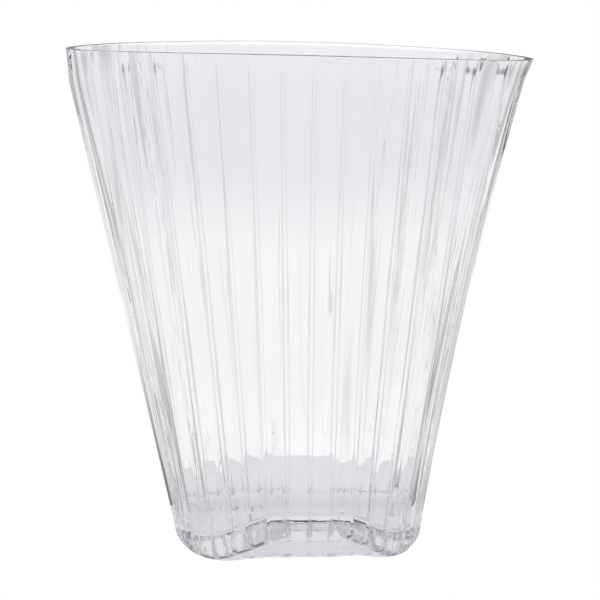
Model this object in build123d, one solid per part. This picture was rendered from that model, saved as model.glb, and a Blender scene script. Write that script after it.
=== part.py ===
from build123d import *
import math
import os

# Fan vase of clear fluted glass, in millimetres: +X to the right, +Y to the back, +Z up.
# A thick kidney-shaped foot opens into a wide, shallow fan-shaped mouth.

# Heights above the table
vase_height = 210.0
collar_height = 10.5
floor_thickness = 11.5
rim_tilt = 2.0

# Half-widths to the left and right of the middle, which are not quite equal on a hand-shaped piece
foot_half_width_left = 52.0
foot_half_width_right = 50.8
collar_half_width_left = 85.8
collar_half_width_right = 83.3
rim_flare_left = 0.4
rim_flare_right = 2.9

# The right side flares along a curve: this share of its spread grows with the square of the height
right_curve_share = 0.36

# Half-depths front to back, how far the foot's sides stand back and how far the wing tips sweep forward
foot_half_depth = 29.7
collar_half_depth = 22.8
foot_set_back = 5.0
collar_sweep = 14.8

# Squareness of the plan: 2 is an ellipse, more is a rounded rectangle
foot_squareness = 3.45
collar_squareness = 2.0

# Valley pressed into the front, deepest at the foot, with a web of glass left under it at the table
valley_depth = 25.9
web_height = 10.0
web_valley_share = 0.31

# Middle of each flank of the valley, and half its breadth, as shares of the half-width
foot_left_flank_share = -0.37
foot_right_flank_share = 0.53
rim_left_flank_share = -0.57
rim_right_flank_share = 0.56
foot_left_breadth_share = 0.32
foot_right_breadth_share = 0.24
rim_breadth_share = 0.3

# Glass wall, rounded edge of the foot and rounding of the lip
foot_wall = 5.2
rim_wall = 3.2
foot_radius = 8.9
lip_round_share = 0.42

# Flutes: convex pillars between sharp grooves, which fade at the foot and at the lip
front_panel_flutes = 10
wing_flutes = 6
back_panel_flutes = 10
flute_phase_share = 0.45
flute_depth = 1.1
flute_start_height = 9.0
flute_fade_height = 12.0
foot_flute_share = 0.2
lip_flute_share = 0.35
inner_flute_share = 0.6

# Cuts run past the glass by this much
overrun = 1.0

# Steps along the height, from the foot of each zone to its top
base_level_shares = [0.0, 0.03, 0.12, 0.3, 0.55, 0.78, 1.0]
wall_level_shares = [0.0, 0.1, 0.3, 0.55, 0.8, 1.0]
lip_angles = [0.0, 45.0, 90.0]

# Fineness of the plan curve that the flutes are stepped along
plan_steps = 480

collar_start = vase_height - collar_height
lip_radius = rim_wall * lip_round_share
lip_start = vase_height - lip_radius

# Grooves at which the wall panels meet, counted to the right from the middle of the front
flutes = front_panel_flutes + back_panel_flutes + 2 * wing_flutes
left_groove = -(front_panel_flutes // 2)
right_groove = left_groove + front_panel_flutes
back_right_groove = right_groove + wing_flutes
back_left_groove = back_right_groove + back_panel_flutes


def between(low, high, share):
    return low + (high - low) * share


def rise(z):
    """Share of the way from the table to the collar."""
    return min(z / collar_start, 1.0)


def flare(z):
    """Share of the way from the collar to the lip."""
    return min(max(z - collar_start, 0.0) / (lip_start - collar_start), 1.0)


def foot_inset(z):
    """How far the rounded foot draws the plan in."""
    if z >= foot_radius:
        return 0.0
    return foot_radius - math.sqrt(foot_radius**2 - (foot_radius - z) ** 2)


def wall_at(z):
    return between(foot_wall, rim_wall, rise(z))


def flute_depth_at(z):
    start = between(foot_flute_share, 1.0, min(z / flute_start_height, 1.0))
    fade = between(lip_flute_share, 1.0, min(max(vase_height - z, 0.0) / flute_fade_height, 1.0))
    return flute_depth * start * fade


def smooth(share):
    share = min(max(share, 0.0), 1.0)
    return share * share * (3.0 - 2.0 * share)


def valley_at(z):
    return valley_depth * (1.0 - rise(z)) * between(web_valley_share, 1.0, smooth(z / web_height))


def plan(z, inset):
    """Closed curve through the crowns at one height, drawn in: left tip, front, right tip, back."""
    share = rise(z)
    curve = between(share, share**2, right_curve_share)
    left = between(foot_half_width_left, collar_half_width_left, share) + rim_flare_left * flare(z)
    right = between(foot_half_width_right, collar_half_width_right, curve) + rim_flare_right * flare(z)
    depth = between(foot_half_depth, collar_half_depth, share)
    sweep = between(-foot_set_back, collar_sweep, share)
    power = between(foot_squareness, collar_squareness, share)
    left_flank = between(foot_left_flank_share, rim_left_flank_share, share) - inset / left
    right_flank = between(foot_right_flank_share, rim_right_flank_share, share) + inset / right
    left_breadth = between(foot_left_breadth_share, rim_breadth_share, share)
    right_breadth = between(foot_right_breadth_share, rim_breadth_share, share)
    points = []
    for step in range(plan_steps):
        angle = math.pi + 2 * math.pi * step / plan_steps
        across, along = math.cos(angle), math.sin(angle)
        radius = (abs(across) ** power + abs(along) ** power) ** (-1.0 / power)
        u, v = radius * across, radius * along
        half_width = right if u > 0 else left
        x = (half_width - inset) * u
        y = (depth - inset) * v - sweep * u**2
        if v < 0:
            from_left = (x / half_width - left_flank) / left_breadth
            from_right = (right_flank - x / half_width) / right_breadth
            y -= valley_at(z) * v * smooth((from_left + 1) / 2) * smooth((from_right + 1) / 2)
        points.append((x, y))
    return points


class Course:
    """The plan curve measured along its length, so that flutes can be stepped along it."""

    def __init__(self, points):
        self.points = points + points[:1]
        self.lengths = [0.0]
        for here, there in zip(self.points, self.points[1:]):
            self.lengths.append(self.lengths[-1] + math.dist(here, there))
        self.front = self.lengths[len(points) // 4]
        self.whole = self.lengths[-1]

    def at(self, distance):
        distance %= self.whole
        after = next(i for i, length in enumerate(self.lengths) if length > distance)
        span = self.lengths[after] - self.lengths[after - 1]
        share = (distance - self.lengths[after - 1]) / span
        start, end = self.points[after - 1], self.points[after]
        return between(start[0], end[0], share), between(start[1], end[1], share)

    def outward(self, distance):
        """Outward direction, from the points half a curve step to each side."""
        reach = self.whole / plan_steps
        before, after = self.at(distance - reach), self.at(distance + reach)
        run = math.dist(before, after)
        return (after[1] - before[1]) / run, (before[0] - after[0]) / run

    def station(self, half_flute):
        """Distance to a groove (even numbers) or a crown (odd numbers), from the middle of the front."""
        return self.front + self.whole * (half_flute / 2 + flute_phase_share) / flutes


def height_at(x, z):
    """Height of a point, leaned by the tilt of the rim above the collar."""
    rim_half_width = (collar_half_width_left + collar_half_width_right) / 2
    return z - rim_tilt * flare(z) * x / rim_half_width


def fluted_points(z, first, last, depth_share, inset):
    """Grooves and crowns from one groove to another, drawn in from the outside."""
    course = Course(plan(z, inset))
    points = []
    for half_flute in range(2 * first, 2 * last + 1):
        distance = course.station(half_flute)
        x, y = course.at(distance)
        out_x, out_y = course.outward(distance)
        groove = 0.0 if half_flute % 2 else flute_depth_at(z) * depth_share
        points.append((x - out_x * groove, y - out_y * groove, z))
    return points


def arcs(points):
    """One arc for each flute, groove to crown to groove."""
    starts = range(0, len(points) - 2, 2)
    return [ThreePointArc(points[i], points[i + 1], points[i + 2]) for i in starts]


def ring_face(z, depth_share, inset, lift=0.0):
    """Whole fluted outline at one height, as a face."""
    points = fluted_points(z, 0, flutes, depth_share, inset)
    points[-1] = points[0]
    leaned = [(x, y, height_at(x, z) + lift) for x, y, _ in points]
    return Face(Wire(arcs(leaned)))


def panel_face(z, first, last):
    """Slice of the wall between two grooves: outer flutes, a straight end, inner flutes, an end."""
    outer = fluted_points(z, first, last, 1.0, 0.0)
    inner = fluted_points(z, first, last, inner_flute_share, wall_at(z))
    ends = [Line(outer[-1], inner[-1]), Line(inner[0], outer[0])]
    return Face(Wire(arcs(outer) + [ends[0]] + arcs(inner) + [ends[1]]))


def wall_panel(first, last):
    """Part of the wall from the floor to the collar."""
    levels = [between(floor_thickness, collar_start, share) for share in wall_level_shares]
    return loft([panel_face(z, first, last) for z in levels], ruled=True)


def solid_base():
    """Thick foot with a rounded edge, whose top is the floor of the vase."""
    levels = [floor_thickness * share for share in base_level_shares]
    return loft([ring_face(z, 1.0, foot_inset(z)) for z in levels])


def rim_band():
    """Collar that closes the four wall panels into one ring, with a rounded lip."""
    levels = [(collar_start, 0.0)]
    for angle in lip_angles:
        rounding = math.radians(angle)
        level = lip_start + lip_radius * math.sin(rounding)
        levels.append((level, lip_radius * (1.0 - math.cos(rounding))))
    outer = [ring_face(z, 1.0, draw) for z, draw in levels]
    inner = [ring_face(z, inner_flute_share, wall_at(z) - draw) for z, draw in levels]
    below = ring_face(collar_start, inner_flute_share, wall_at(collar_start), lift=-overrun)
    above = ring_face(vase_height, inner_flute_share, rim_wall - lip_radius, lift=overrun)
    return loft(outer, ruled=True) - loft([below] + inner + [above], ruled=True)


nodes = {
    "solid_base": solid_base(),
    "front_wall": wall_panel(left_groove, right_groove),
    "right_wing": wall_panel(right_groove, back_right_groove),
    "back_wall": wall_panel(back_right_groove, back_left_groove),
    "left_wing": wall_panel(back_left_groove, left_groove + flutes),
    "rim_band": rim_band(),
}

# The vase stands on the origin, with the middle of its width and depth over it
box = Compound(list(nodes.values())).bounding_box()
centring = Location((-box.center().X, -box.center().Y, 0.0))

os.makedirs("parts", exist_ok=True)
for name, node in nodes.items():
    export_step(node.moved(centring), f"parts/{name}.step")
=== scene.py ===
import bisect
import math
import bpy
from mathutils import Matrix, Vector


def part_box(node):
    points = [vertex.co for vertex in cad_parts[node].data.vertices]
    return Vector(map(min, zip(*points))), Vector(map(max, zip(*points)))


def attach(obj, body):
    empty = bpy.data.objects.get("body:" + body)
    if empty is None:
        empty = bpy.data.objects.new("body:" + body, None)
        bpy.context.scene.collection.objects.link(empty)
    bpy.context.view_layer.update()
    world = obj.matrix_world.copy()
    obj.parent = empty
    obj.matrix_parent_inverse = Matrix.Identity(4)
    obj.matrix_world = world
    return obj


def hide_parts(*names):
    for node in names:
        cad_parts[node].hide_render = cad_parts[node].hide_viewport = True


bl_info = {
    "name": "Fluted fan vase",
    "version": (1, 0, 0),
    "blender": (4, 5, 0),
    "location": "View3D > Sidebar > Fan vase",
    "description": "Builds a clear glass fan vase with flutes, and a plain studio round it",
    "category": "Add Mesh",
}

import bmesh
import bpy
from mathutils import Vector, noise

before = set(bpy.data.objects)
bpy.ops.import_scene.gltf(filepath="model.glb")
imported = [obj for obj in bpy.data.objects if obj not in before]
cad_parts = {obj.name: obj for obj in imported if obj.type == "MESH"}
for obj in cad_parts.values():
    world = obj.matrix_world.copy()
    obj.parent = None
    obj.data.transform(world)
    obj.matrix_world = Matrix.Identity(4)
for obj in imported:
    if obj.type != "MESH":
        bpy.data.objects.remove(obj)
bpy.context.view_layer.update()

MM = 0.001
IMAGE_PIXELS = 600
SENSOR_WIDTH = 36.0

# Bounces of light, enough that the thick glass of the foot doesn't turn dark
GLASS_BOUNCES, MIRROR_BOUNCES = 40, 32

# Glow that lifts the table top to white for the camera alone
TABLE_GLOW = 0.35

GLASS_NODES = ("solid_base", "front_wall", "back_wall", "left_wing", "right_wing", "rim_band")

foot_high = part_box("solid_base")[1]
rim_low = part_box("rim_band")[0]


def between(low, high, share):
    return low + (high - low) * share


def clamped(value, low=0.0, high=1.0):
    return max(low, min(high, value))


def smooth(share):
    share = clamped(share)
    return share * share * (3 - 2 * share)


def eased(value, start, span):
    """Smooth change from 0 at the start of a span to 1 at its end."""
    return smooth((value - start) / span)


def from_front(turn):
    """Share of the way round from the middle of the front, to the nearer side."""
    return abs((turn + 0.5) % 1.0 - 0.5)


def sideways(turn):
    """How far a point lies to the side: 0 in the middle of the front and the back, 1 at the tips."""
    return abs(math.sin(math.tau * turn))


def length(label, words, default):
    """A size property in metres, given in millimetres."""
    return bpy.props.FloatProperty(
        name=label, description=words, default=default * MM, unit="LENGTH", precision=5
    )


def plain_number(label, words, default):
    return bpy.props.FloatProperty(name=label, description=words, default=default)


def share_of(label, words, default):
    return bpy.props.FloatProperty(name=label, description=words, default=default, subtype="FACTOR")


def colour(label, words, default):
    return bpy.props.StringProperty(name=label, description=words, default=default)


class VaseShape(bpy.types.PropertyGroup):
    """Sizes of the glass."""

    collar_start: length("Collar start", "Height at which the plain collar begins", rim_low.z / MM)
    floor_height: length("Floor height", "Thickness of the solid glass under the floor", foot_high.z / MM)
    collar_height: length("Collar height", "Height of the plain collar under the rim", 10.5)
    rim_tilt: length("Rim tilt", "Rise of the left end of the rim, and fall of the right end", 2.0)
    foot_left: length("Foot left", "Half-width of the foot to the left", 52.0)
    foot_right: length("Foot right", "Half-width of the foot to the right", 50.8)
    collar_left: length("Collar left", "Half-width at the collar to the left", 85.8)
    collar_right: length("Collar right", "Half-width at the collar to the right", 83.3)
    flare_left: length("Left flare", "Spread of the collar to the left", 0.4)
    flare_right: length("Right flare", "Spread of the collar to the right", 2.9)
    right_curve: share_of("Right curve", "Share of the right side's spread that grows with the square", 0.36)
    foot_depth: length("Foot depth", "Half-depth of the foot front to back", 29.7)
    collar_depth: length("Collar depth", "Half-depth at the collar front to back", 22.8)
    foot_sweep: length("Foot sweep", "Forward sweep of the foot's sides", -5.0)
    collar_sweep: length("Collar sweep", "Forward sweep of the wing tips", 14.8)
    foot_squareness: plain_number("Foot squareness", "Power of the foot's rounded plan", 3.45)
    collar_squareness: plain_number("Collar squareness", "Power of the mouth's plan", 2.0)
    valley_depth: length("Valley depth", "Depth of the valley in the front of the foot", 25.9)
    web_height: length("Web height", "Thickness of the flat web of glass under the valley", 1.2)
    web_fillet: length("Web fillet", "Radius of the fillet from the web up to the valley's wall", 1.2)
    web_valley: share_of("Web valley", "Share of the valley's depth at the table", 0.53)
    valley_left_foot: share_of("Valley left, foot", "Left flank at the foot, across the half-width", -0.37)
    valley_left_rim: share_of("Valley left, rim", "Left flank at the rim, across the half-width", -0.57)
    valley_right_foot: share_of("Valley right, foot", "Right flank at the foot, across the half-width", 0.53)
    valley_right_rim: share_of("Valley right, rim", "Right flank at the rim, across the half-width", 0.56)
    flank_left: share_of("Left flank", "Half the breadth of the valley's left flank at the foot", 0.32)
    flank_right: share_of("Right flank", "Half the breadth of the valley's right flank at the foot", 0.24)
    flank_rim: share_of("Flanks at the rim", "Half the breadth of both flanks at the rim", 0.3)
    foot_wall: length("Foot wall", "Thickness of the wall at the floor", 5.2)
    rim_wall: length("Rim wall", "Thickness of the wall at the rim", 3.2)
    foot_radius: length("Foot radius", "Rounding of the foot's lower edge", 8.9)
    web_radius: length("Web radius", "Rounding of the web's lower edge", 1.2)
    back_radius: length("Back radius", "Rounding of the foot's lower edge at the back", 5.8)
    lip_front: length("Front lip", "Rounding of the lip's edges at the front", 0.25)
    lip_back: length("Back lip", "Rounding of the lip's edges at the back", 1.44)
    floor_radius: length("Floor radius", "Rounding where the inner wall meets the floor", 3.4)
    hollow: length("Underside hollow", "Rise of the shallow hollow under the foot", 0.7)
    flute_depth: length("Flute depth", "Depth of the grooves between the flutes", 1.1)
    flute_start: length("Flute start", "Height over which the grooves deepen above the foot", 7.0)
    flute_fade: length("Flute fade", "Height under the rim over which the grooves fade", 9.0)
    flute_round: share_of("Flute roundness", "Share of the groove that is the wide curve of the flute", 0.6)
    channel_floor: length("Channel floor", "Half-width of the flat floor of the groove", 1.1)
    channel_side: length("Channel side", "Width of each sloping side of the groove", 0.3)
    channel_depth: length("Channel depth", "Depth of the groove below the flutes", 0.5)
    channel_taper: length("Channel taper", "Height over which the groove's floor widens above the foot", 50.0)
    channel_fade: share_of("Channel fade", "Depth of the channels near the rim, as a share", 0.25)
    channel_fade_start: length("Channel fade start", "Height at which the channels begin to fade", 95.0)
    channel_fade_height: length("Channel fade height", "Height over which the channels fade", 85.0)
    notch_depth: length("Notch depth", "Depth of the notch in which each groove ends on the foot", 1.4)
    notch_side: length("Notch side", "Width of each sloping side of the notch", 0.8)
    notch_height: length("Notch height", "Height of the top of the notch", 10.0)
    back_flutes: share_of("Back flutes", "Depth of the grooves at the back, as a share", 0.3)
    back_channels: share_of("Back channels", "Depth of the grooves' channels at the back, as a share", 0.2)
    inner_flutes: share_of("Inner flutes", "Depth of the waves inside, as a share of the grooves", 0.22)
    wing_waves: plain_number("Wing waves", "Waves inside the wings, as a multiple of the panels'", 2.3)
    ripple: length("Ripple", "Unevenness of the wings' inner wall from blowing", 0.1)
    middle_x: length("Middle across", "Place of the plan's middle across the width", -0.02)
    middle_y: length("Middle in depth", "Place of the plan's middle front to back", -2.43)
    flutes: bpy.props.IntProperty(name="Flutes", description="Flutes round the whole vase", default=32)
    flute_phase: share_of("Flute phase", "Turn of the flutes from the middle of the front, in flutes", 0.45)


class VaseGlass(bpy.types.PropertyGroup):
    """Finish of the glass."""

    tint: colour("Tint", "Colour of light through the glass, as sRGB hex", "FCFCFD")
    ior: plain_number("IOR", "Refraction of soda-lime glass", 1.5)
    gloss: share_of("Roughness", "Roughness of the fire-polished skin", 0.0)
    streak_width: length("Streak width", "Width of the fine streaks that blowing draws along the wings", 1.8)
    streak_length: length("Streak length", "Length of the fine streaks", 70.0)
    dimple: length("Dimple", "Spacing of the dimples round the solid foot", 3.0)
    dimple_height: length("Dimple height", "Depth of the dimples round the solid foot", 0.3)
    streak_height: length("Streak height", "Height of the fine streaks", 0.17)


class VaseStage(bpy.types.PropertyGroup):
    """Floor, light and camera."""

    floor_colour: colour("Floor", "Colour of the pale table top, as sRGB hex", "EAE9EB")
    floor_dark: colour("Floor mottle", "Colour of the mottling in the table's paint, as sRGB hex", "E6E5E7")
    mottle: length("Mottle", "Size of the mottling in the table's paint", 9.0)
    brush_height: length("Brush marks", "Height of the marks in the table's paint", 0.05)
    table_width: length("Table width", "Half-width of the pale table top", 74.0)
    table_depth: length("Table depth", "Half-depth of the pale table top", 84.0)
    low_light: colour("Low light", "Colour of the studio low down, as sRGB hex", "FFFFFF")
    high_light: colour("High light", "Colour of the studio higher up, as sRGB hex", "EFEEF2")
    camera_distance: length("Camera distance", "Camera to the middle of the vase, along the floor", 482.7)
    camera_height: length("Camera height", "Height of the camera over the table", 269.0)
    camera_pitch: bpy.props.FloatProperty(
        name="Camera pitch", description="Downward tilt", default=0.321, subtype="ANGLE"
    )
    focal_pixels: plain_number("Focal length", "Focal length in image pixels", 1250.0)


class VasePlan:
    """Plan of the vase at any height, and the flutes stepped along it."""

    CURVE_STEPS = 720
    FLOOR_STEPS, SIDE_STEPS, CROWN_STEPS = 2, 4, 6
    LEDGE = 0.05 * MM

    # Shares of the full depth of the grooves, and of the full width and depth of their channels, by place
    GROOVE_AT_TABLE, GROOVE_AT_COLLAR, GROOVE_AT_LIP = 0.1, 0.6, 0.35
    CHANNEL_WIDTH_AT_FLOOR, CHANNEL_WIDTH_AT_COLLAR = 0.15, 0.4
    CHANNEL_DEPTH_AT_TIP, NOTCH_DEPTH_IN_VALLEY = 0.35, 0.25

    # Smooth changes, each with its start and its span: up the notch, round the vase, and out to the sides
    NOTCH_OPENS, NOTCH_CLOSES = (0.1, 0.3), (0.9, 0.5)
    PAST_VALLEY, BACK_BEGINS = (0.05, 0.05), (0.28, 0.08)
    CHANNELS_STAY, WING_BEGINS, TIP_BEGINS = (0.55, 0.2), (0.7, 0.2), (0.9, 0.08)

    # Curves of the flutes outside and of the waves inside the wings, as powers of the nearness to a groove
    FLUTE_POWER, WING_WAVE_POWER = 2, 3

    # Unevenness of the inner wall: ripples to a flute, their length, and where across the width they begin
    RIPPLES_PER_FLUTE = 3
    RIPPLE_LENGTH = 45 * MM
    RIPPLES_BEGIN = (0.35, 0.35)

    def __init__(self, shape):
        self.shape = shape
        self.flutes = shape.flutes
        self.girth = 2 * (shape.collar_left + shape.collar_right)
        self.points = 2 * (self.FLOOR_STEPS + self.SIDE_STEPS + self.CROWN_STEPS)
        self.count = self.flutes * self.points
        self.usual = self.spots(shape.collar_start / 2, self.girth / self.flutes)

    def rise(self, z):
        return clamped(z / self.shape.collar_start)

    def flare(self, z):
        return clamped((z - self.shape.collar_start) / self.shape.collar_height)

    def wall(self, z):
        return between(self.shape.foot_wall, self.shape.rim_wall, self.rise(z))

    def foot_inset(self, z, radius):
        """How far a rounded lower edge draws the plan in."""
        drop = clamped(radius - z, 0.0, radius)
        return radius - math.sqrt(radius**2 - drop**2)

    def above_web(self, z):
        """Share of the valley's depth: none in the web, then a flat ledge and a fillet up to the wall."""
        s = self.shape
        fillet_share = s.web_fillet / (s.valley_depth * (1 - s.web_valley))
        if z < s.web_height + self.LEDGE:
            return (1 - fillet_share) * clamped((z - s.web_height) / self.LEDGE)
        climb = clamped((z - s.web_height - self.LEDGE) / s.web_fillet)
        return 1 - fillet_share * (1 - math.sqrt(1 - (1 - climb) ** 2))

    def groove(self, z):
        """Depth of the grooves at a height."""
        s = self.shape
        top = s.collar_start + s.collar_height
        start = between(self.GROOVE_AT_TABLE, 1.0, smooth(z / s.flute_start))
        fade = between(self.GROOVE_AT_LIP, 1.0, smooth((top - z) / s.flute_fade))
        return s.flute_depth * start * fade * between(1.0, self.GROOVE_AT_COLLAR, self.rise(z))

    def notch(self, z):
        """Share of the deep notch in which each groove ends on the solid foot."""
        up = z / self.shape.notch_height
        return eased(up, *self.NOTCH_OPENS) * (1 - eased(up, *self.NOTCH_CLOSES))

    def spots(self, z, pitch):
        """Mesh points from the middle of a groove to the crown: distance, and share of channel."""
        s = self.shape
        widening = eased(z, s.floor_height, s.channel_taper)
        floor = s.channel_floor * between(self.CHANNEL_WIDTH_AT_FLOOR, 1.0, widening)
        floor *= between(1.0, self.CHANNEL_WIDTH_AT_COLLAR, self.rise(z))
        side = between(s.channel_side, s.notch_side, self.notch(z))
        spots = [(floor * step / self.FLOOR_STEPS, 1.0) for step in range(self.FLOOR_STEPS)]
        for step in range(self.SIDE_STEPS):
            share = step / self.SIDE_STEPS
            spots.append((floor + side * share, 1 - smooth(share)))
        for step in range(self.CROWN_STEPS + 1):
            spots.append((between(floor + side, pitch / 2, step / self.CROWN_STEPS), 0.0))
        return spots

    def behind(self, station):
        """Share by which a point belongs to the back of the vase."""
        return eased(from_front(self.turn(station)), *self.BACK_BEGINS)

    def ripple(self, turn, share, z):
        """Uneven wall of the wings, which runs along the flutes."""
        reach = self.flutes * self.RIPPLES_PER_FLUTE / math.tau
        across, along = reach * math.cos(math.tau * turn), reach * math.sin(math.tau * turn)
        spot = Vector((across, along, z / self.RIPPLE_LENGTH))
        return self.shape.ripple * noise.noise(spot) * eased(abs(share), *self.RIPPLES_BEGIN)

    def curve(self, z, inset, web_inset):
        """Closed curve round the crowns: left tip, front, right tip, back."""
        s = self.shape
        share = self.rise(z)
        bent = between(share, share**2, s.right_curve)
        left = between(s.foot_left, s.collar_left, share) + s.flare_left * self.flare(z)
        right = between(s.foot_right, s.collar_right, bent) + s.flare_right * self.flare(z)
        depth = between(s.foot_depth, s.collar_depth, share)
        sweep = between(s.foot_sweep, s.collar_sweep, share)
        power = between(s.foot_squareness, s.collar_squareness, share)
        valley = s.valley_depth * (1 - share) * between(s.web_valley, 1.0, self.above_web(z))
        left_edge = between(s.valley_left_foot, s.valley_left_rim, share) - inset / left
        right_edge = between(s.valley_right_foot, s.valley_right_rim, share) + inset / right
        left_flank = between(s.flank_left, s.flank_rim, share)
        right_flank = between(s.flank_right, s.flank_rim, share)
        points = []
        for step in range(self.CURVE_STEPS + 1):
            angle = math.pi + math.tau * step / self.CURVE_STEPS
            across, along = math.cos(angle), math.sin(angle)
            radius = (abs(across) ** power + abs(along) ** power) ** (-1 / power)
            u, v = radius * across, radius * along
            half = right if u > 0 else left
            x = (half - inset) * u
            y = (depth - inset) * v - sweep * u**2
            if v < 0:
                inner_left = smooth((x / half - left_edge + left_flank) / (2 * left_flank))
                inner_right = smooth((right_edge + right_flank - x / half) / (2 * right_flank))
                y -= (valley + web_inset - inset) * v * inner_left * inner_right
            points.append(Vector((x + s.middle_x, y + s.middle_y)))
        return points

    def turn(self, station):
        """Share of the way round from the middle of the front, at the middle height."""
        return self.placed(station, self.usual)[0]

    def placed(self, station, spots):
        """Share of the way round, distance from the nearest groove in half flutes, and share of channel."""
        flute, step = divmod(station, self.points)
        distance, sunk = spots[min(step, self.points - step)]
        half_flute = spots[-1][0]
        aside = distance / half_flute / 2
        place = aside if step <= self.points // 2 else 1 - aside
        return (flute + place + self.shape.flute_phase) / self.flutes, 2 * aside, sunk

    def ring(self, front, back, waves, inside):
        """Points round the vase, with a height and insets of their own at the front and at the back."""
        near = self.loop(*front, waves, inside)
        if back == front:
            return near
        far = self.loop(*back, waves, inside)
        return [near[i].lerp(far[i], self.behind(i)) for i in range(self.count)]

    def loop(self, z, inset, web_inset, waves, inside):
        """Points round the vase at one height, set in from the outside, with grooves as deep as waves."""
        s = self.shape
        half = between(s.foot_left, s.collar_left, self.rise(z))
        curve = self.curve(z, inset, web_inset)
        lengths = [0.0]
        for here, there in zip(curve, curve[1:]):
            lengths.append(lengths[-1] + (there - here).length)
        front = lengths[self.CURVE_STEPS // 4]
        whole = lengths[-1]

        def at(distance):
            distance %= whole
            after = clamped(bisect.bisect_right(lengths, distance), 1, self.CURVE_STEPS)
            span = lengths[after] - lengths[after - 1]
            return curve[after - 1].lerp(curve[after], (distance - lengths[after - 1]) / span)

        reach = whole / self.CURVE_STEPS
        groove = self.groove(z) * waves
        fading = between(1.0, s.channel_fade, eased(z, s.channel_fade_start, s.channel_fade_height))
        channel = s.channel_depth * self.groove(z) / s.flute_depth * waves
        notch = s.notch_depth * self.notch(z) * waves
        spots = self.spots(z, whole / self.flutes)
        points = []
        for station in range(self.count):
            turn, off_groove, sunk = self.placed(station, spots)
            near_groove = 1 - off_groove
            aside = sideways(turn)
            behind = self.behind(station)
            distance = front + whole * turn
            point = at(distance)
            run = at(distance + reach) - at(distance - reach)
            outward = Vector((run.y, -run.x)).normalized()
            uneven = inside * self.ripple(turn, point.x / half, z)
            outer = groove * s.flute_round * near_groove**self.FLUTE_POWER
            wing_wave = s.wing_waves * near_groove**self.WING_WAVE_POWER
            inner = groove * between(smooth(near_groove), wing_wave, eased(aside, *self.WING_BEGINS))
            cut = between(outer, inner, inside) * between(1.0, s.back_flutes, behind)
            faded = between(fading, 1.0, eased(aside, *self.CHANNELS_STAY))
            faded *= between(1.0, self.CHANNEL_DEPTH_AT_TIP, eased(aside, *self.TIP_BEGINS))
            cut += channel * faded * sunk * (1 - inside) * between(1.0, s.back_channels, behind)
            open_notch = between(self.NOTCH_DEPTH_IN_VALLEY, 1.0, eased(from_front(turn), *self.PAST_VALLEY))
            cut += notch * sunk * (1 - inside) * open_notch
            point = point - outward * (cut + uneven)
            lean = s.rim_tilt * self.flare(z) * (point.x - s.middle_x) / s.collar_left
            points.append(Vector((point.x, point.y, z - lean)))
        return points


def linear(hex_colour):
    """Linear colour with alpha from an sRGB hex value."""
    channels = [int(hex_colour[i:i + 2], 16) / 255 for i in (0, 2, 4)]
    return [c / 12.92 if c <= 0.04045 else ((c + 0.055) / 1.055) ** 2.4 for c in channels] + [1.0]


def add_node(tree, kind, inputs=None, **settings):
    """A node with its settings; an input is a value or a socket to link."""
    node = tree.nodes.new(kind)
    for name, value in settings.items():
        setattr(node, name, value)
    for name, value in (inputs or {}).items():
        if isinstance(value, bpy.types.NodeSocket):
            tree.links.new(value, node.inputs[name])
        else:
            node.inputs[name].default_value = value
    return node


def new_material(name):
    material = bpy.data.materials.new(name)
    material.use_nodes = True
    material.node_tree.nodes.clear()
    return material, material.node_tree


def moulded_soda_lime_glass(glass):
    """Clear soda-lime glass, blown into a fluted mould and fire-polished.
    The eye sees a bright clear skin with soft streaks along the wings and a faintly dimpled foot."""
    material, tree = new_material("moulded_soda_lime_glass")
    fan = add_node(tree, "ShaderNodeUVMap", uv_map="fan")
    streaks = add_node(tree, "ShaderNodeMapping", {
        "Vector": fan.outputs["UV"], "Scale": (1 / glass.streak_width, 1 / glass.streak_length, 1.0),
    })
    waves = add_node(tree, "ShaderNodeTexNoise", {"Vector": streaks.outputs[0], "Scale": 1.0, "Detail": 2.0})
    wing = add_node(tree, "ShaderNodeAttribute", attribute_name="wing")
    height = add_node(tree, "ShaderNodeMath", {
        0: waves.outputs["Fac"], 1: wing.outputs["Fac"],
    }, operation="MULTIPLY")
    skin = add_node(tree, "ShaderNodeBump", {
        "Height": height.outputs[0], "Strength": 1.0, "Distance": glass.streak_height,
    })
    place = add_node(tree, "ShaderNodeTexCoord")
    dimples = add_node(tree, "ShaderNodeTexNoise", {
        "Vector": place.outputs["Object"], "Scale": 1 / glass.dimple, "Detail": 1.0,
    })
    foot = add_node(tree, "ShaderNodeAttribute", attribute_name="foot")
    pressed = add_node(tree, "ShaderNodeMath", {
        0: dimples.outputs["Fac"], 1: foot.outputs["Fac"],
    }, operation="MULTIPLY")
    skin = add_node(tree, "ShaderNodeBump", {
        "Height": pressed.outputs[0],
        "Strength": 1.0,
        "Distance": glass.dimple_height,
        "Normal": skin.outputs[0],
    })
    shader = add_node(tree, "ShaderNodeBsdfPrincipled", {
        "Base Color": linear(glass.tint),
        "Roughness": glass.gloss,
        "IOR": glass.ior,
        "Transmission Weight": 1.0,
        "Normal": skin.outputs[0],
    })
    add_node(tree, "ShaderNodeOutputMaterial", {"Surface": shader.outputs["BSDF"]})
    return material


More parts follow.
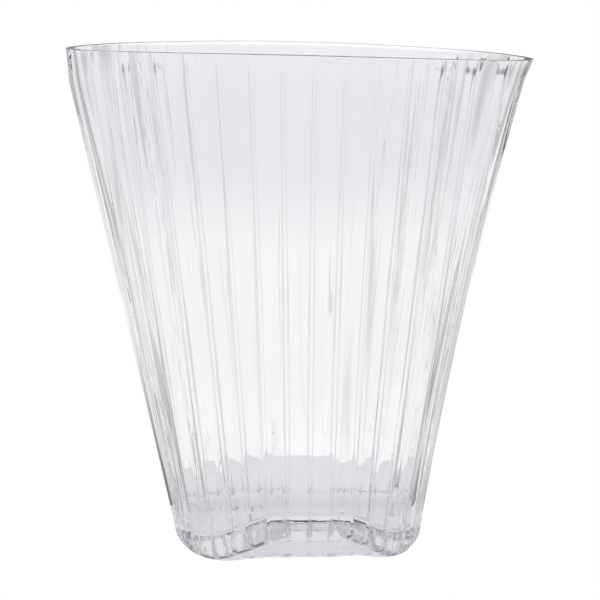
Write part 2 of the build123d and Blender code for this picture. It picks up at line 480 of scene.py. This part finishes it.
def pale_table_top(stage):
    """Smooth painted table top. It takes soft shadows and reads as white paper to the camera."""
    material, tree = new_material("painted_table_top")
    place = add_node(tree, "ShaderNodeTexCoord")
    mottle = add_node(tree, "ShaderNodeTexNoise", {
        "Vector": place.outputs["Object"], "Scale": 1 / stage.mottle, "Detail": 4.0,
    })
    tone = add_node(tree, "ShaderNodeMix", {
        0: mottle.outputs["Fac"], 6: linear(stage.floor_colour), 7: linear(stage.floor_dark),
    }, data_type="RGBA")
    brush = add_node(tree, "ShaderNodeBump", {
        "Height": mottle.outputs["Fac"], "Strength": 1.0, "Distance": stage.brush_height,
    })
    paint = add_node(tree, "ShaderNodeBsdfDiffuse", {"Color": tone.outputs[2], "Normal": brush.outputs[0]})
    path = add_node(tree, "ShaderNodeLightPath")
    lift = add_node(tree, "ShaderNodeEmission", {"Color": (1, 1, 1, 1), "Strength": TABLE_GLOW})
    nothing = add_node(tree, "ShaderNodeEmission", {"Color": (0, 0, 0, 1), "Strength": 0.0})
    seen = add_node(tree, "ShaderNodeMixShader", {
        0: path.outputs["Is Camera Ray"], 1: nothing.outputs[0], 2: lift.outputs[0],
    })
    both = add_node(tree, "ShaderNodeAddShader", {0: paint.outputs[0], 1: seen.outputs[0]})
    add_node(tree, "ShaderNodeOutputMaterial", {"Surface": both.outputs[0]})
    return material


class FANVASE_OT_glass(bpy.types.Operator):
    """Builds the whole vase as one closed skin of glass: foot, outer wall, lip, inner wall and floor"""

    bl_idname = "fanvase.glass"
    bl_label = "Vase glass"

    # Rings of the skin: steps round each rounding, up the walls, up the collar and over half the lip
    FOOT_STEPS, FLOOR_STEPS, LIP_STEPS = 8, 6, 4
    WALL_STEPS, INNER_STEPS, COLLAR_STEPS = 26, 30, 4

    # Closeness of the rings low down, as a power, the rings of the web's ledge, and those of the underside
    WALL_SPACING = 1.25
    LEDGE_SHARES = (0.0, 0.05, 0.5, 0.95)
    HOLLOW_INSET, STAND_INSET = 7 * MM, 3 * MM

    # Streaks, each change with its start and its span: out to the sides, at the tips, and up the height
    STREAKS_BEGIN, STREAKS_THIN, STREAKS_RISE = (0.45, 0.2), (0.8, 0.12), (60 * MM, 60 * MM)
    STREAKS_AT_TIP, STREAKS_LOW, STREAKS_BEHIND = 0.1, 0.12, 0.3

    # Heights in thicknesses of the floor: streaks above the foot, and dimples that begin and end in it
    STREAKS_ABOVE_FOOT, DIMPLES_BEGIN = (0.5, 1.0), (0.25, 0.25)
    DIMPLES_END = 6

    def execute(self, context):
        shape = context.scene.vase_shape
        plan = VasePlan(shape)
        bm = bmesh.new()
        station = bm.verts.layers.int.new("station")
        verts = bmesh.ops.create_circle(bm, cap_ends=False, radius=1.0, segments=plan.count)["verts"]
        for number, vert in enumerate(verts):
            vert[station] = number
        edges = list(bm.edges)
        first_edges = edges
        for step, stop in enumerate(self.stops(plan)):
            if step:
                made = bmesh.ops.extrude_edge_only(bm, edges=edges)["geom"]
                verts = [item for item in made if isinstance(item, bmesh.types.BMVert)]
                ring = set(verts)
                made_edges = [item for item in made if isinstance(item, bmesh.types.BMEdge)]
                edges = [edge for edge in made_edges if ring.issuperset(edge.verts)]
            points = plan.ring(*stop)
            for vert in verts:
                vert.co = points[vert[station]]
        caps = bmesh.ops.edgeloop_fill(bm, edges=first_edges)["faces"]
        caps += bmesh.ops.edgeloop_fill(bm, edges=edges)["faces"]
        bmesh.ops.triangulate(bm, faces=caps)
        bmesh.ops.recalc_face_normals(bm, faces=bm.faces)
        self.lay_out(bm, plan, station)
        for face in bm.faces:
            face.smooth = True
        mesh = bpy.data.meshes.new("vase_glass")
        bm.to_mesh(mesh)
        bm.free()
        vase = bpy.data.objects.new("vase_glass", mesh)
        context.scene.collection.objects.link(vase)
        mesh.materials.append(moulded_soda_lime_glass(context.scene.vase_glass))
        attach(vase, "root")
        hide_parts(*GLASS_NODES)
        return {"FINISHED"}

    def lay_out(self, bm, plan, station):
        """Fan-shaped layout in metres, round the girth and up the height, and shares of wing and foot."""
        layer = bm.loops.layers.uv.new("fan")
        wing = bm.verts.layers.float.new("wing")
        foot = bm.verts.layers.float.new("foot")
        for vert in bm.verts:
            z = vert.co.z
            up = z / plan.shape.floor_height
            aside = sideways(plan.turn(vert[station]))
            flank = eased(aside, *self.STREAKS_BEGIN)
            flank *= between(1.0, self.STREAKS_AT_TIP, eased(aside, *self.STREAKS_THIN))
            upper = between(self.STREAKS_LOW, 1.0, eased(z, *self.STREAKS_RISE))
            back = between(1.0, self.STREAKS_BEHIND, plan.behind(vert[station]))
            vert[wing] = flank * upper * back * eased(up, *self.STREAKS_ABOVE_FOOT)
            vert[foot] = eased(up, *self.DIMPLES_BEGIN) * smooth((1 - up) * self.DIMPLES_END)
        for face in bm.faces:
            stations = [vert[station] for vert in face.verts]
            crosses = max(stations) - min(stations) > plan.count / 2
            for loop in face.loops:
                number = loop.vert[station]
                lap = 1 if crosses and number < plan.count / 2 else 0
                loop[layer].uv = (plan.girth * (plan.turn(number) + lap), loop.vert.co.z)

    def stops(self, plan):
        """Rings from the underside over the lip to the inner floor.
        Each has a front, a back, the depth of its waves and its side of the wall."""
        s = plan.shape
        top = s.collar_start + s.collar_height
        floor_start = s.floor_height + s.floor_radius
        quarter = [math.pi / 2 * step / self.FOOT_STEPS for step in range(self.FOOT_STEPS + 1)]
        stops = []

        def add(z, inset, waves=1.0, inside=0.0, web_inset=None, back=None):
            front = (z, inset, inset if web_inset is None else web_inset)
            stops.append((front, back or front, waves, inside))

        add(s.hollow, s.foot_radius + self.HOLLOW_INSET, waves=0.0)
        add(0.0, s.foot_radius + self.STAND_INSET, waves=0.0)
        heights = [s.foot_radius * (1 - math.cos(angle)) for angle in quarter]
        heights += [s.web_height + plan.LEDGE * share for share in self.LEDGE_SHARES]
        heights += [s.web_height + plan.LEDGE + s.web_fillet * (1 - math.cos(angle)) for angle in quarter]
        for z in sorted(heights):
            back_inset = plan.foot_inset(z, s.back_radius)
            web_inset = plan.foot_inset(z, s.web_radius)
            add(z, plan.foot_inset(z, s.foot_radius), web_inset=web_inset, back=(z, back_inset, back_inset))
        for step in range(1, self.WALL_STEPS + 1):
            add(between(s.foot_radius, s.collar_start, (step / self.WALL_STEPS) ** self.WALL_SPACING), 0.0)
        lip = max(s.lip_front, s.lip_back)
        for step in range(1, self.COLLAR_STEPS):
            add(between(s.collar_start, top - lip, step / self.COLLAR_STEPS), 0.0)
        wall = plan.wall(top)
        lip_rings = 2 * (self.LIP_STEPS + 1)
        for step in range(lip_rings):
            outside = step <= self.LIP_STEPS
            angle = math.pi / 2 * (step if outside else step - 1) / self.LIP_STEPS
            rings = []
            for radius in (s.lip_front, s.lip_back):
                outer, inner = radius * (1 - math.cos(angle)), wall - radius * (1 + math.cos(angle))
                rings.append((top - radius + radius * math.sin(angle), outer if outside else inner))
            (z, inset), (back_z, back_inset) = rings
            inside = step / (lip_rings - 1)
            waves = between(1.0, s.inner_flutes, inside)
            add(z, inset, waves, inside, back=(back_z, back_inset, back_inset))
        for step in reversed(range(self.INNER_STEPS)):
            z = between(floor_start, top - lip, (step / self.INNER_STEPS) ** self.WALL_SPACING)
            add(z, plan.wall(z), s.inner_flutes, 1.0)
        for step in range(1, self.FLOOR_STEPS + 1):
            angle = math.pi / 2 * step / self.FLOOR_STEPS
            z = floor_start - s.floor_radius * math.sin(angle)
            add(z, plan.wall(z) + s.floor_radius * (1 - math.cos(angle)), s.inner_flutes, 1.0)
        return stops


class FANVASE_OT_stage(bpy.types.Operator):
    """Lays the pale table, the soft light and the camera"""

    bl_idname = "fanvase.stage"
    bl_label = "Stage"

    TABLE_SEGMENTS = 128
    TABLE_DROP = 0.2 * MM

    # Grey levels across the white sheet behind the vase, by distance from its middle: two soft folds
    SHEET = {0.0: 1.0, 0.14: 0.98, 0.19: 0.68, 0.24: 0.95, 0.3: 0.95, 0.35: 0.62, 0.41: 0.9, 0.55: 0.8}

    # Smooth changes of light by direction: what is read, its start and end, and the levels before and after
    CHANGES = {
        # The folds of the sheet are weaker low down, and there is a gap at each side of it
        "folds": ("Z", -0.42, -0.32, 0.45, 1.0),
        "gap_begins": ("aside", 0.38, 0.46, 0.0, 1.0),
        "gap_ends": ("aside", 0.65, 0.8, 1.0, 0.3),
        # Low down, beside the table, the gap is dark; higher up a soft box shines there
        "gap_light": ("Z", -0.58, -0.36, -0.8, 0.1),
        # The camera's side of the studio is dim below eye level, most of all under the table
        "front": ("Y", -0.6, 0.1, 0.52, 1.0),
        "upper": ("Z", -0.3, -0.1, 0.0, 1.0),
        "low": ("Z", -0.75, -0.45, 0.55, 1.05),
        "beyond": ("Y", 0.2, 0.5, 0.0, 1.0),
        # The ceiling is grey, which the foot shows by reflection from under its floor
        "overhead": ("Z", 0.1, 0.35, 0.0, 1.0),
        "corners": ("aside", 0.34, 0.58, 0.86, 0.46),
        # Black flags stand at both sides, low down, and darken the edges of the glass near the foot
        "flags": ("aside", 0.72, 0.86, 0.0, 0.45),
        "flag_tops": ("Z", -0.25, -0.1, 1.0, 0.0),
        # A dark strip near the table's level, straight behind, draws the edge of the inner floor
        "strip": ("off_strip", 0.14, 0.19, 0.92, 0.0),
        "ahead": ("Y", 0.75, 0.85, 0.0, 1.0),
    }
    STRIP_MIDDLE = 0.06
    BEYOND_LEVEL = 1.05
    COLOUR_START, COLOUR_END = -0.29, -0.23

    # Half of a first bounce: rays that have left a matt surface count one or more
    BEFORE_MATT = 0.5

    def execute(self, context):
        stage = context.scene.vase_stage
        self.table(context, stage)
        self.surroundings(context, stage)
        self.camera(context, stage)
        context.scene.view_settings.view_transform = "Standard"
        context.scene.cycles.max_bounces = GLASS_BOUNCES
        context.scene.cycles.glossy_bounces = MIRROR_BOUNCES
        context.scene.cycles.transmission_bounces = GLASS_BOUNCES
        context.scene.cycles.blur_glossy = 0.0
        return {"FINISHED"}

    def table(self, context, stage):
        bm = bmesh.new()
        bmesh.ops.create_circle(bm, cap_ends=True, radius=1.0, segments=self.TABLE_SEGMENTS)
        bmesh.ops.scale(bm, verts=bm.verts, vec=(stage.table_width, stage.table_depth, 1.0))
        bmesh.ops.translate(bm, verts=bm.verts, vec=(0, 0, -self.TABLE_DROP))
        mesh = bpy.data.meshes.new("table_top")
        bm.to_mesh(mesh)
        bm.free()
        table = bpy.data.objects.new("table_top", mesh)
        context.scene.collection.objects.link(table)
        mesh.materials.append(pale_table_top(stage))

    def surroundings(self, context, stage):
        """Plain white to the camera and to matt surfaces, and a studio of light and shade to the glass."""
        world = bpy.data.worlds.new("soft_studio")
        context.scene.world = world
        world.use_nodes = True
        tree = world.node_tree
        tree.nodes.clear()
        where = add_node(tree, "ShaderNodeTexCoord")
        parts = add_node(tree, "ShaderNodeSeparateXYZ", {0: where.outputs["Generated"]})
        aside = add_node(tree, "ShaderNodeMath", {0: parts.outputs["X"]}, operation="ABSOLUTE")
        lifted = add_node(tree, "ShaderNodeMath", {
            0: parts.outputs["Z"], 1: self.STRIP_MIDDLE,
        }, operation="SUBTRACT")
        off_strip = add_node(tree, "ShaderNodeMath", {0: lifted.outputs[0]}, operation="ABSOLUTE")
        read = {
            "aside": aside.outputs[0],
            "off_strip": off_strip.outputs[0],
            "Y": parts.outputs["Y"],
            "Z": parts.outputs["Z"],
        }
        light = {}
        for name, (source, start, end, before, after) in self.CHANGES.items():
            light[name] = add_node(tree, "ShaderNodeMapRange", {
                "Value": read[source], "From Min": start, "From Max": end, "To Min": before, "To Max": after,
            }, interpolation_type="SMOOTHSTEP").outputs[0]
        shade = add_node(tree, "ShaderNodeValToRGB", {0: aside.outputs[0]})
        elements = shade.color_ramp.elements
        while len(elements) < len(self.SHEET):
            elements.new(1.0)
        for element, (place, level) in zip(elements, self.SHEET.items()):
            element.position = place
            element.color = (level, level, level, 1.0)
        sheet = add_node(tree, "ShaderNodeMix", {0: light["folds"], 2: 1.0, 3: shade.outputs[0]})
        gap = add_node(tree, "ShaderNodeMath", {
            0: light["gap_begins"], 1: light["gap_ends"],
        }, operation="MULTIPLY")
        change = add_node(tree, "ShaderNodeMath", {
            0: gap.outputs[0], 1: light["gap_light"],
        }, operation="MULTIPLY")
        kept = add_node(tree, "ShaderNodeMath", {0: change.outputs[0], 1: 1.0}, operation="ADD")
        sides = add_node(tree, "ShaderNodeMath", {
            0: kept.outputs[0], 1: sheet.outputs[0],
        }, operation="MULTIPLY")
        facing = add_node(tree, "ShaderNodeMix", {0: light["upper"], 2: light["front"], 3: 1.0})
        lower = add_node(tree, "ShaderNodeMix", {0: light["beyond"], 2: light["low"], 3: self.BEYOND_LEVEL})
        dim = add_node(tree, "ShaderNodeMath", {
            0: facing.outputs[0], 1: lower.outputs[0],
        }, operation="MULTIPLY")
        around = add_node(tree, "ShaderNodeMath", {
            0: dim.outputs[0], 1: sides.outputs[0],
        }, operation="MULTIPLY")
        ceiling = add_node(tree, "ShaderNodeMix", {0: light["overhead"], 2: 1.0, 3: light["corners"]})
        above = add_node(tree, "ShaderNodeMath", {
            0: around.outputs[0], 1: ceiling.outputs[0],
        }, operation="MULTIPLY")
        flagged = add_node(tree, "ShaderNodeMath", {
            0: light["flags"], 1: light["flag_tops"],
        }, operation="MULTIPLY")
        beside = add_node(tree, "ShaderNodeMix", {0: flagged.outputs[0], 2: above.outputs[0], 3: 0.0})
        line = add_node(tree, "ShaderNodeMath", {
            0: light["strip"], 1: light["ahead"],
        }, operation="MULTIPLY")
        clear_of_line = add_node(tree, "ShaderNodeMath", {0: 1.0, 1: line.outputs[0]}, operation="SUBTRACT")
        level = add_node(tree, "ShaderNodeMath", {
            0: beside.outputs[0], 1: clear_of_line.outputs[0],
        }, operation="MULTIPLY")
        height = add_node(tree, "ShaderNodeMapRange", {
            "Value": parts.outputs["Z"], "From Min": self.COLOUR_START, "From Max": self.COLOUR_END,
        })
        tone = add_node(tree, "ShaderNodeMix", {
            "Factor": height.outputs[0], 6: linear(stage.low_light), 7: linear(stage.high_light),
        }, data_type="RGBA")
        studio = add_node(tree, "ShaderNodeBackground", {
            "Color": tone.outputs[2], "Strength": level.outputs[0],
        })
        white = add_node(tree, "ShaderNodeBackground", {"Color": (1, 1, 1, 1), "Strength": 1.0})
        path = add_node(tree, "ShaderNodeLightPath")
        bent = add_node(tree, "ShaderNodeMath", {
            0: path.outputs["Is Glossy Ray"], 1: path.outputs["Is Transmission Ray"],
        }, operation="MAXIMUM")
        unlit = add_node(tree, "ShaderNodeMath", {
            0: path.outputs["Diffuse Depth"], 1: self.BEFORE_MATT,
        }, operation="LESS_THAN")
        through = add_node(tree, "ShaderNodeMath", {
            0: bent.outputs[0], 1: unlit.outputs[0],
        }, operation="MULTIPLY")
        mixed = add_node(tree, "ShaderNodeMixShader", {
            0: through.outputs[0], 1: white.outputs[0], 2: studio.outputs[0],
        })
        add_node(tree, "ShaderNodeOutputWorld", {"Surface": mixed.outputs[0]})

    def camera(self, context, stage):
        lens = bpy.data.cameras.new("camera")
        lens.sensor_width = SENSOR_WIDTH
        lens.lens = stage.focal_pixels * lens.sensor_width / IMAGE_PIXELS
        camera = bpy.data.objects.new("camera", lens)
        camera.location = (0.0, -stage.camera_distance, stage.camera_height)
        camera.rotation_euler = (math.pi / 2 - stage.camera_pitch, 0.0, 0.0)
        context.scene.collection.objects.link(camera)
        context.scene.camera = camera


class FANVASE_PT_panel(bpy.types.Panel):
    """Lists the steps of the vase"""

    bl_idname = "FANVASE_PT_panel"
    bl_label = "Fan vase"
    bl_space_type = "VIEW_3D"
    bl_region_type = "UI"
    bl_category = "Fan vase"

    def draw(self, context):
        for operator in OPERATORS:
            self.layout.operator(operator.bl_idname)


GROUPS = {"vase_shape": VaseShape, "vase_glass": VaseGlass, "vase_stage": VaseStage}
OPERATORS = (FANVASE_OT_glass, FANVASE_OT_stage)
CLASSES = (*GROUPS.values(), *OPERATORS, FANVASE_PT_panel)


def register():
    for cls in CLASSES:
        bpy.utils.register_class(cls)
    for name, group in GROUPS.items():
        setattr(bpy.types.Scene, name, bpy.props.PointerProperty(type=group))


def unregister():
    for name in GROUPS:
        delattr(bpy.types.Scene, name)
    for cls in reversed(CLASSES):
        bpy.utils.unregister_class(cls)


def main():
    register()
    bpy.ops.fanvase.glass()
    bpy.ops.fanvase.stage()


if __name__ == "__main__":
    main()
